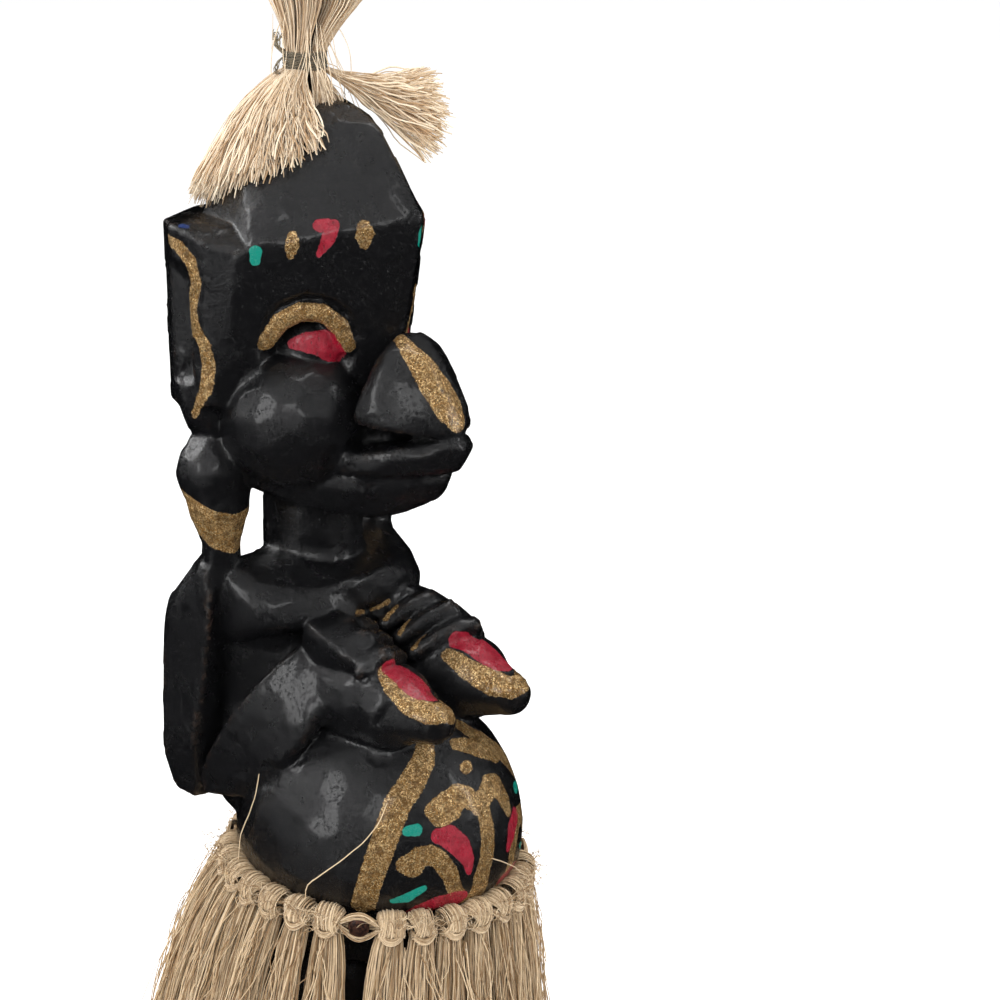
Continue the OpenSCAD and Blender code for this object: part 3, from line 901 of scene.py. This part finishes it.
class Strands:
    """The fibres of one piece, as closed tubes that each have a tone of their own."""

    def __init__(self, rng):
        self.rng, self.points, self.faces, self.tones, self.count = rng, [], [], [], 0

    def add(self, paths, radius, aside, flat=0.5, tone=(0.0, 1.0), taper=0.75):
        """paths is n by k by 3; radius and tone are each a range that every strand draws from."""
        n, k, _ = paths.shape
        thick = self.rng.uniform(*radius, n)[:, None] * np.ones(k)
        thick[:, 0] *= taper
        thick[:, -1] *= taper
        aside = np.broadcast_to(np.asarray(aside, float), (n, 3))[:, None, :]
        points, walls, ends = tubes(paths, thick, aside, flat)
        self.points.append(points)
        self.faces += [walls + self.count, ends + self.count]
        self.tones.append(np.repeat(self.rng.uniform(*tone, n), k * TUBE_SIDES))
        self.count += len(points)

    def some(self, low, high, n):
        """A random number for each of n strands, as a column."""
        return self.rng.uniform(low, high, (n, 1))

    def wander(self, n, k, size, waves=2.0):
        """Slow random sideways motion along each of n strands of k points."""
        t = np.linspace(0, 2 * np.pi, k)
        total = np.zeros((n, k))
        for share in (1.0, 0.5, 0.25):
            rate = self.some(0.4, waves, n) / share ** 0.7
            total += share * np.sin(rate * t + self.some(0, 2 * np.pi, n))
        return total * size

    def finish(self, name, look, body, replaces):
        """Makes the piece, which stands for a CAD node."""
        mesh = new_mesh(name, np.concatenate(self.points), np.concatenate(self.faces))
        set_values(mesh, "tone", np.concatenate(self.tones))
        piece = new_object(name, mesh, look)
        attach(piece, body)
        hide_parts(replaces)


def stack(x, y, z):
    """Points from their three coordinates, each n by k or less."""
    return np.stack(np.broadcast_arrays(x, y, z), axis=-1)


def bow(t, start, middle, stop):
    """The curve that leaves start towards middle and comes to stop, as t goes from 0 to 1."""
    return (1 - t) ** 2 * start + 2 * t * (1 - t) * middle + t * t * stop


# ---- skirt

HANK_LENGTH = 68.0
HANK_SLOPE = 0.16
BACK_FLARE = 9.0
HANK_TOP = 1.2          # where the falling strands begin, below the cord's middle
KNOT_HALF = 3.1
NECK_HALF, HEM_HALF = 2.7, 4.3
GAP_REACH = 1.6
FIBRE = (0.12, 0.24)
HAIR_THIN = (0.06, 0.10)
NAIL_TURNS = (54, 150, 210, 306)
# strands of one hank: below the knot, round the cord, across the front, loose, and curls
FALLING, WRAPS, CROSS_WRAPS, BAND, STRAYS, CURLS = 190, 74, 20, 24, 10, 18


def settle(depth, length):
    """From 0 at the cord to 1 far below it."""
    return 1 - np.exp(-depth / length)


def stand_out(depth, flare):
    """How far a hank stands out from the cord at a depth below it, as on the CAD solid."""
    return flare * settle(depth, 14) + HANK_SLOPE * depth


def knot_place(joint):
    """A knot's place on the cord, and the axes out of, along and up from the cord as rows."""
    along, up = -np.array(joint["axis"]), RING_AXES[2]
    return np.array(joint["pos_m"]) / MM, np.array([np.cross(along, up), along, up])


def hank_falling(s, flare, lean, gap):
    """The strands that hang below the knot, spreading towards uneven ends."""
    n, k, rng = FALLING, 15, s.rng
    u, v = rng.uniform(-1, 1, (2, n, 1))
    v = v * np.sqrt(1 - 0.6 * u * u)
    depth = HANK_TOP + np.linspace(0, 1, k) * (HANK_LENGTH * s.some(0.90, 1.0, n) - HANK_TOP)
    width = NECK_HALF + (HEM_HALF - NECK_HALF) * settle(depth, 18)
    thick = 1.5 + 0.7 * settle(depth, 12)
    drift = rng.normal(0, 0.28, (n, 1)) * (1 + 2.2 * (s.some(0, 1, n) > 0.88)) * depth / HANK_LENGTH
    grow = np.minimum(depth / 20, 1)
    fill = gap * settle(depth, 8) * (1 + 0.6 * np.sign(gap) * u)
    y = (u + drift) * width + grow * s.wander(n, k, 0.6) + lean * depth + fill
    x = stand_out(depth, flare) + v * thick + grow * s.wander(n, k, 0.25)
    turn = rng.uniform(-0.9, 0.9, n)
    return stack(x, y, -depth), stack(np.sin(turn), np.cos(turn), 0 * turn)


def gap_reach(at):
    """How far a hank beside a nail spreads over the nail's empty place."""
    side = np.array(at) - RING_AT
    turn = math.degrees(math.atan2(-side[0], -side[1])) % 360
    for nail in NAIL_TURNS:
        if abs(turn - nail) < 18:
            return GAP_REACH if turn > nail else -GAP_REACH
    return 0.0


def hank_wraps(s, slant, n, lift):
    """Strands wound over the cord, slanting across the knot's front."""
    k = 16
    turn = np.radians(np.linspace(255, -80, k) + s.rng.normal(0, 8, (n, 1)))
    start = s.some(-1, 1, n) * (KNOT_HALF - abs(slant) * 0.45)
    y = start + slant * np.sin(turn) + s.wander(n, k, 0.12)
    bulge = np.maximum(0.02, 1 - (np.abs(y) / (KNOT_HALF + 0.4)) ** 3) ** 0.5
    rho = 2.1 + 1.35 * bulge + lift + s.some(-0.35, 0.2, n)
    return stack(rho * np.cos(turn), y, rho * np.sin(turn) * 1.02)


def hank_band(s, tilt):
    """The bight that crosses the hank's front just under the knot."""
    n, k = BAND, 12
    q = np.linspace(-1, 1, k) * np.ones((n, 1))
    low = s.some(-0.9, 0.7, n)
    x = 0.6 + (3.1 + s.some(-0.2, 0.25, n)) * np.sqrt(1 - 0.85 * q * q)
    z = -0.6 - 2.1 * (1 - q * q) + tilt * q + low + s.wander(n, k, 0.1)
    return stack(x, KNOT_HALF * 1.05 * q, z)


def hank_strays(s, flare):
    """A few loose strands that cross their neighbours, and short curls at the knot."""
    rng = s.rng
    n, k = STRAYS, 14
    depth = s.some(0, 8, n) + np.linspace(0, 1, k) * s.some(25, 58, n)
    y = s.some(-2, 2, n) + rng.normal(0, 0.13, (n, 1)) * depth + s.wander(n, k, 1.0)
    x = stand_out(depth, flare) + 2.1 + 1.4 * settle(depth, 20) + s.wander(n, k, 0.5)
    s.add(stack(x, y, -depth), (0.10, 0.17), (0, 1, 0), 0.8)
    n, k = CURLS, 10
    t = np.linspace(0, 1, k)
    start = np.stack([rng.uniform(1.0, 3.2, n), rng.uniform(-3, 3, n), rng.uniform(0.5, 3.0, n)], axis=1)
    way = np.stack([rng.uniform(0.3, 1, n), rng.normal(0, 0.8, n), rng.uniform(-0.6, 0.7, n)], axis=1)
    curl = np.stack([s.wander(n, k, size, 3) for size in (0.5, 0.8, 0.8)], axis=2)
    curl -= curl[:, :1]
    reach = rng.uniform(2.0, 7.5, (n, 1, 1))
    paths = start[:, None] + unit(way)[:, None] * reach * t[:, None] + curl * t[:, None]
    s.add(paths, HAIR_THIN, (0, 1, 0), 1.0)


def make_hank(name, rng, straw):
    """One hank of the skirt, knotted over the cord and hung on its hinge."""
    at, axes = knot_place(HINGES[name])
    front = -(at[1] - RING_AT[1]) / RING_RADIUS
    flare = BACK_FLARE * (1 - front) / 2
    s = Strands(rng)
    slant = rng.uniform(0.9, 1.9) * (1 if rng.uniform() < 0.75 else -1)
    falling, aside = hank_falling(s, flare, rng.normal(0, 0.034), gap_reach(at))
    s.add(falling, FIBRE, aside, 0.5)
    s.add(hank_wraps(s, slant, WRAPS, 0.0), FIBRE, (0, 1, 0), 0.55, (0.0, 0.75))
    s.add(hank_wraps(s, -0.4 * slant, CROSS_WRAPS, 0.3), FIBRE, (0, 1, 0), 0.55, (0.0, 0.75))
    s.add(hank_band(s, rng.uniform(-0.9, 0.9)), FIBRE, (0, 0, 1), 0.55, (0.0, 0.8))
    hank_strays(s, flare)
    s.points = [at + p @ axes for p in s.points]
    s.finish("raffia_" + name.removeprefix("skirt_"), straw, name, name)


def ring_spot(turn):
    """A place on the cord by its angle round the ring, and its axes as rows."""
    out, up = ring_out(turn), RING_AXES[2]
    return np.array(RING_AT) + RING_RADIUS * out, np.array([out, np.cross(up, out), up])


# loose fibres that stand up from the skirt over the belly
STRAY_FIBRES = (
    ((-34.5, -17.5, 111), (-36, -18.8, 118.5), (-34.4, -24.2, 122.9), (-31.8, -28.9, 127.2),
     (-29.1, -31.7, 130.6), (-26.2, -33.4, 134.7), (-23.0, -33.9, 139.4)),
    ((-33.5, 6.5, 114), (-33.4, 5.6, 123.5), (-33.5, 3, 128.6), (-32.4, 1.2, 135), (-31.9, -0.3, 141)),
    ((0.2, -46.6, 121.5), (6.5, -45.9, 118), (12, -45.0, 114.2), (16.5, -43.5, 111)))
PLIES, PLY_STRANDS, CORD_STOPS = 3, 11, 360
LOOP_STRANDS, LOOP_HALF = 15, 5.7


def make_cord(rng, straw):
    """The header cord: twisted plies of raffia, with loops of it round each nail."""
    s = Strands(rng)
    around = np.linspace(0, 2 * np.pi, CORD_STOPS)
    for ply in range(PLIES):
        lay = 26 * around + 2 * np.pi * ply / PLIES
        own = s.some(0, 2 * np.pi, PLY_STRANDS) + 14 * around
        size = 0.55 * np.sqrt(s.some(0.1, 1, PLY_STRANDS))
        rho = RING_RADIUS + (0.72 * np.cos(lay) + size * np.cos(own))
        flat = stack(rho * np.sin(around), -rho * np.cos(around), 0.72 * np.sin(lay) + size * np.sin(own))
        s.add(flat @ RING_AXES + RING_AT, FIBRE, tuple(RING_AXES[2]), 0.6, (0.1, 0.9))
    n, k = LOOP_STRANDS, 18
    q = np.linspace(-1, 1, k) * np.ones((n, 1))
    for turn in NAIL_TURNS:
        at, axes = ring_spot(turn)
        for side in (1, -1):
            open_by = s.some(2.0, 3.7, n)
            y = LOOP_HALF * q + rng.normal(0, 0.2, (n, 1))
            z = side * open_by * (1 - q * q) ** 1.3 + s.wander(n, k, 0.12)
            x = 1.0 + 1.0 * (1 - q * q) + s.some(-0.5, 0.5, n)
            s.add(stack(x, y, z) @ axes + at, FIBRE, tuple(axes[2]), 0.55, (0.0, 0.8))
    k = 24
    for path in STRAY_FIBRES:
        path = np.array(path, float)
        stops = np.linspace(0, 1, len(path))
        curve = np.array([np.interp(np.linspace(0, 1, k), stops, part) for part in path.T]).T
        curve[1:-1] = (curve[:-2] + 2 * curve[1:-1] + curve[2:]) / 4
        sway = np.stack([s.wander(1, k, 0.1, 3) for _ in range(3)], axis=2)
        s.add(curve[None] + sway, (0.13, 0.16), (0, 1, 0), 0.9, (0.0, 0.3))
    s.finish("raffia_cord", straw, "doll", "skirt_cord")


def lathe(profile, sides, rng, rough):
    """A closed solid turned about Z from (radius, height) pairs that start and end on the axis."""
    points, faces = [(0, 0, profile[0][1])], []
    turn = 2 * np.pi * np.arange(sides) / sides
    for r, z in profile[1:-1]:
        wobble = 1 + rng.normal(0, rough, sides)
        points += list(zip(r * wobble * np.cos(turn), r * wobble * np.sin(turn), np.full(sides, z)))
    points.append((0, 0, profile[-1][1]))
    rings, last = len(profile) - 2, len(points) - 1
    for i in range(sides):
        j = (i + 1) % sides
        faces.append((0, 1 + j, 1 + i))
        for ring in range(rings - 1):
            a, b = 1 + ring * sides, 1 + (ring + 1) * sides
            faces.append((a + i, a + j, b + j, b + i))
        faces.append((last, 1 + (rings - 1) * sides + i, 1 + (rings - 1) * sides + j))
    return np.array(points, float), faces


# radius and height over the cord's middle, from the shank's end to the top of the head
NAIL_PROFILE = [(0, -10), (0.25, -9.6), (0.7, -8), (0.75, 1.5), (2.1, 1.6), (2.55, 1.85), (2.6, 2.1),
                (2.35, 2.5), (1.7, 2.85), (0.9, 3.05), (0, 3.1)]


def make_nails(rng):
    """Four tacks with domed heads, driven in at the ring's four empty places, each a little askew."""
    points, faces = [], []
    for turn in NAIL_TURNS:
        at, axes = ring_spot(turn)
        p, f = lathe(NAIL_PROFILE, 20, rng, 0.018)
        base = sum(len(q) for q in points)
        faces += [tuple(base + i for i in face) for face in f]
        tip = rng.normal(0, 0.04, 2)
        out = unit(axes[0] + tip[0] * axes[1] + tip[1] * axes[2])
        side = unit(np.cross(axes[2], out))
        points.append(at + p[:, :1] * side + p[:, 1:2] * np.cross(out, side) + p[:, 2:] * out)
    mesh = bpy.data.meshes.new("tacks")
    mesh.from_pydata((np.concatenate(points) * MM).tolist(), [], faces)
    mesh.shade_smooth()
    nails = new_object("tacks", mesh, rusty_nail())
    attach(nails, "doll")
    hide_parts("skirt_nails")


# ---- topknot

BIND_RADIUS = 4.95
FAN_TOP = BIND_LOW + 0.6
TUFT_WAY = (0.643, -0.766)


def round_peg(r, turn, z):
    """A point by its distance from the peg, its compass angle round it and its height."""
    return stack(PEG_X + r * np.cos(turn), PEG_Y + r * np.sin(turn), z)


def tuft_lean(z):
    """How far the tuft's middle leans towards the doll's front left."""
    return np.interp(z, (BIND_HIGH, 323, TUFT_TOP), (0.0, 2.9, 3.6))


def tuft_radius(z):
    heights = (300, BIND_LOW + 2, BIND_HIGH - 1, 317, 323, 337, TUFT_TOP - 5, TUFT_TOP)
    return np.interp(z, heights, (4.8, 4.5, 4.5, 7.2, 10.9, 16.5, 20.5, 21.5))


def add_tuft(s, start, stop, n):
    """The upright half of a hank: strands from inside the binding, spreading to uneven tips."""
    k = 20
    low = s.some(302.5, 305.5, n)
    top = TUFT_TOP - s.some(0, 1, n) ** 2 * 9
    z = low + np.linspace(0, 1, k) * (top - low)
    share = np.sqrt(s.some(0.03, 1, n))
    turn = s.some(math.radians(start), math.radians(stop), n)
    turn = turn + np.radians(s.wander(n, k, 2.0, 1.2)) * np.clip((z - 315) / 15, 0, 1)
    r = np.maximum(share * tuft_radius(z), np.interp(z, (316, 330), (3.0, 0.4)))
    r = r + s.wander(n, k, 0.35) * np.clip((z - 312) / 12, 0, 1.6)
    r = r + np.clip((z - 335) / 25, 0, 1) ** 2 * s.rng.normal(0, 2.0, (n, 1))
    lean = tuft_lean(z)
    path = round_peg(r, turn, z) + stack(TUFT_WAY[0] * lean, TUFT_WAY[1] * lean, 0 * lean)
    s.add(path, FIBRE, (0.6, 0.8, 0), 0.55)


def add_fan(s, n, turns, tip_r, tip_z, bend):
    """Strands that leave the binding's foot and fan out. tip_r and tip_z follow the compass angle."""
    k = 18
    place = s.some(0, 1, n)
    turn = np.radians(turns[0] + (turns[1] - turns[0]) * place)
    layer = s.some(-1, 1, n)
    end_r, end_z = tip_r(place, layer, s.rng), tip_z(place, layer, s.rng)
    t = np.linspace(0, 1, k)
    r = bow(t, 4.0 + 0.5 * layer, bend[0], end_r)
    z = bow(t, FAN_TOP, bend[1] + 0.8 * layer, end_z) + t * s.wander(n, k, 0.85)
    gather = np.radians(sum(turns) / 2)
    turn = gather + (turn - gather) * (0.75 + 0.25 * t) + np.radians(s.wander(n, k, 3.2, 1.8)) * t
    s.add(round_peg(r, turn, z), FIBRE, (0.3, 0.3, 0.9), 0.5)


def add_loops(s, n, turns):
    """Loose strands that bow out from the binding and cross the others."""
    k = 20
    t = np.linspace(0, 1, k)
    turn = np.radians(s.rng.uniform(*turns, (n, 1)))
    begin_z, end_z = s.some(303, 322, n), s.some(284, 303, n)
    swing = np.radians(s.rng.normal(0, 32, (n, 1)))
    begin_r = np.interp(begin_z, (300, 311, 322), (4.6, 4.8, 8.5))
    end_r = np.interp(end_z, (284, 303), (17, 6.5)) + s.some(0, 3, n)
    bow_r, bow_z = s.some(7, 13, n), (begin_z + end_z) / 2 + s.some(0, 5, n)
    z = bow(t, begin_z, bow_z, end_z) + s.wander(n, k, 0.3) * t
    path = round_peg(bow(t, begin_r, bow_r, end_r), turn + swing * t * t, z)
    s.add(path, (0.09, 0.16), (0.3, 0.3, 0.9), 0.8, (0.0, 0.6))


def make_topknot(rng, straw):
    """Two hanks, each half upright and half fallen: to the right side, and to the front and left."""
    side = Strands(rng)
    add_tuft(side, 43, 232, 560)
    add_fan(side, 520, (128, 236),
            lambda p, v, g: 27 - 8.5 * p ** 1.2 + 1.0 * v + g.normal(0, 1.0, p.shape),
            lambda p, v, g: 277 + 15 * p ** 1.5 + 1.4 * v + g.normal(0, 1.1, p.shape), (16, 302.5))
    add_loops(side, 20, (150, 262))
    side.finish("raffia_hair_side", straw, "doll", "hair_hank_side")
    front = Strands(rng)
    add_tuft(front, 252, 397, 460)
    add_fan(front, 390, (284, 338),
            lambda p, v, g: 33.5 - 2.5 * np.abs(v) + g.normal(0, 0.8, p.shape),
            lambda p, v, g: 296 + 9.5 * v + g.normal(0, 0.8, p.shape), (14, 302))
    add_fan(front, 120, (234, 290),
            lambda p, v, g: 14 + 5.0 * v + g.normal(0, 0.8, p.shape),
            lambda p, v, g: 289.5 - 5.5 * v + g.normal(0, 1.5, p.shape), (9, 301))
    add_loops(front, 26, (225, 330))
    front.finish("raffia_hair_front", straw, "doll", "hair_hank_front")


TWINE_TURNS, TWINE_PLIES, TWINE_TAILS = 7, 2, 5


def make_binding(rng):
    """Two-ply twine wound seven times round both hanks, with a knot and short tails."""
    look = fibre("binding_twine", (0.24, 0.20, 0.13, 1), (0.10, 0.08, 0.05, 1), 0.7)
    s = Strands(rng)
    t = np.linspace(0, 1, 420)
    around = 2 * np.pi * TWINE_TURNS * t + math.radians(150)
    rise = BIND_LOW + 0.3 + 0.6 * TWINE_TURNS * t + 0.12 * np.sin(around * 1.3)
    for ply in range(TWINE_PLIES):
        n = 5
        own = around * 9 + np.pi * ply + s.some(-0.9, 0.9, n)
        size = s.some(0.16, 0.36, n)
        r = BIND_RADIUS + size * np.cos(own) + 0.10 * np.sin(3 * around)
        s.add(round_peg(r, around, rise + size * np.sin(own)), (0.13, 0.2), (0, 0, 1), 0.8)
    n, k = 4, 16
    q = np.linspace(0, 1, k)
    for tail in range(TWINE_TAILS):
        far = rng.uniform(5, 12)
        dip = (-1) ** tail * rng.uniform(3, 9)
        r = BIND_RADIUS + 0.4 + 1.4 * np.sin(np.pi * q) + far * 0.25 * q + s.wander(n, k, 0.25) * q
        turn = math.radians(165) + rng.normal(0, 0.1) + 0.1 * s.wander(n, k, 1) * q
        z = BIND_LOW + 3.5 + dip * q + s.wander(n, k, 0.5) * q
        s.add(round_peg(r, turn, z), (0.10, 0.16), (0, 0, 1), 0.9)
    s.finish("twine", look, "doll", "hair_binding")


# ---- assembly

rng = np.random.default_rng(7)
make_camera()
make_studio()
make_floor()
wood = painted_wood()
# the skirt's and cord's raffia: its colours are darkened as painted shade, for the skirt hangs in shade
# under the belly
straw = fibre("raffia", (0.69, 0.52, 0.33, 1), (0.2, 0.11, 0.04, 1))
# the topknot's raffia: the same fibre painted paler and brighter, as painted light falling on it from
# above
hair = fibre("raffia_painted_lit", (0.92, 0.77, 0.57, 1), (0.38, 0.235, 0.12, 1))
make_figure(rng, wood)
make_cord(rng, straw)
for hank in HANKS:
    make_hank(hank, rng, straw)
make_nails(rng)
make_topknot(rng, hair)
make_binding(rng)
